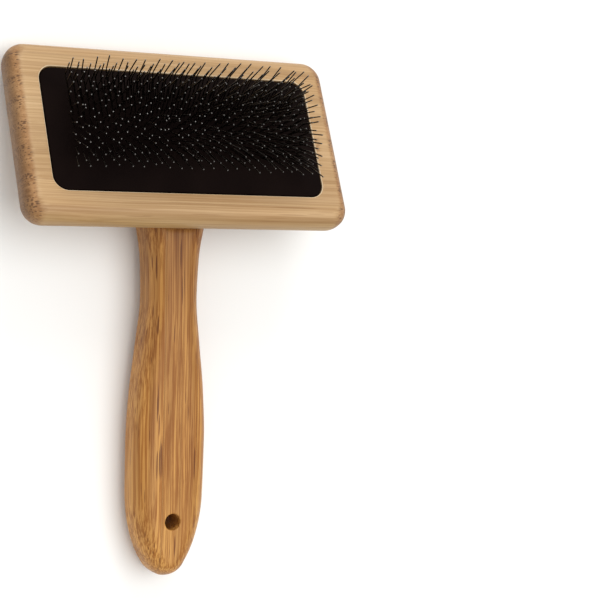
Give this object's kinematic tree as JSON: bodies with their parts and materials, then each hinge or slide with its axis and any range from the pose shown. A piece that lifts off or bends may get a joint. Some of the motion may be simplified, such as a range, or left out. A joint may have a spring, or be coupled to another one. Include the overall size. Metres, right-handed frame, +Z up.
{
  "type": "slicker brush",
  "caption": "Flat bamboo pet grooming brush: a broad rounded head with a domed black pad of bent wire pins, on an angled bamboo handle.",
  "frame": {"origin": "middle of the brush's bounding box, on the table it lies on: pins up, resting on the head's far back edge and on the end of the handle", "axes": "+Y from the handle's end to the head, +X across the head, +Z up; the pins' side of the head faces up and away from the handle, 22.5 degrees off +Z"},
  "size_m": [0.105, 0.1586, 0.039],
  "materials": {
    "head_bamboo": "satin",
    "handle_bamboo": "satin",
    "screw_steel": "satin",
    "foam": "matte",
    "woven_cloth": "matte",
    "pad_rubber": "matte",
    "pin_wire": "satin"
  },
  "bodies": {
    "brush_body": {"head_block": "head_bamboo", "handle": "handle_bamboo", "screw_short": "screw_steel", "screw_long": "screw_steel", "foam_cushion": "foam"},
    "pin_pad": {"rubber_face": "pad_rubber", "pin_cloth": "woven_cloth", "pin_row_01": "pin_wire", "pin_row_02": "pin_wire", "pin_row_03": "pin_wire", "pin_row_04": "pin_wire", "pin_row_05": "pin_wire", "pin_row_06": "pin_wire", "pin_row_07": "pin_wire", "pin_row_08": "pin_wire", "pin_row_09": "pin_wire", "pin_row_10": "pin_wire", "pin_row_11": "pin_wire", "pin_row_12": "pin_wire", "pin_row_13": "pin_wire", "pin_row_14": "pin_wire", "pin_row_15": "pin_wire", "pin_row_16": "pin_wire", "pin_row_17": "pin_wire", "pin_row_18": "pin_wire", "pin_row_19": "pin_wire", "pin_row_20": "pin_wire", "pin_row_21": "pin_wire", "pin_row_22": "pin_wire", "pin_row_23": "pin_wire", "pin_row_24": "pin_wire", "pin_row_25": "pin_wire", "pin_row_26": "pin_wire", "pin_row_27": "pin_wire", "pin_row_28": "pin_wire", "pin_row_29": "pin_wire", "pin_row_30": "pin_wire", "pin_row_31": "pin_wire", "pin_row_32": "pin_wire", "pin_row_33": "pin_wire", "pin_row_34": "pin_wire", "pin_row_35": "pin_wire", "pin_row_36": "pin_wire", "pin_row_37": "pin_wire", "pin_row_38": "pin_wire", "pin_row_39": "pin_wire", "pin_row_40": "pin_wire", "pin_row_41": "pin_wire", "pin_row_42": "pin_wire", "pin_row_43": "pin_wire"}
  },
  "joints": [
    {"name": "cushion_press", "type": "slide", "parent": "brush_body", "child": "pin_pad", "axis": [0, -0.383, -0.9237], "range_m": [0, 0.0015], "stiffness_N_per_m": 6000, "deforming": ["foam_cushion"]}
  ]
}
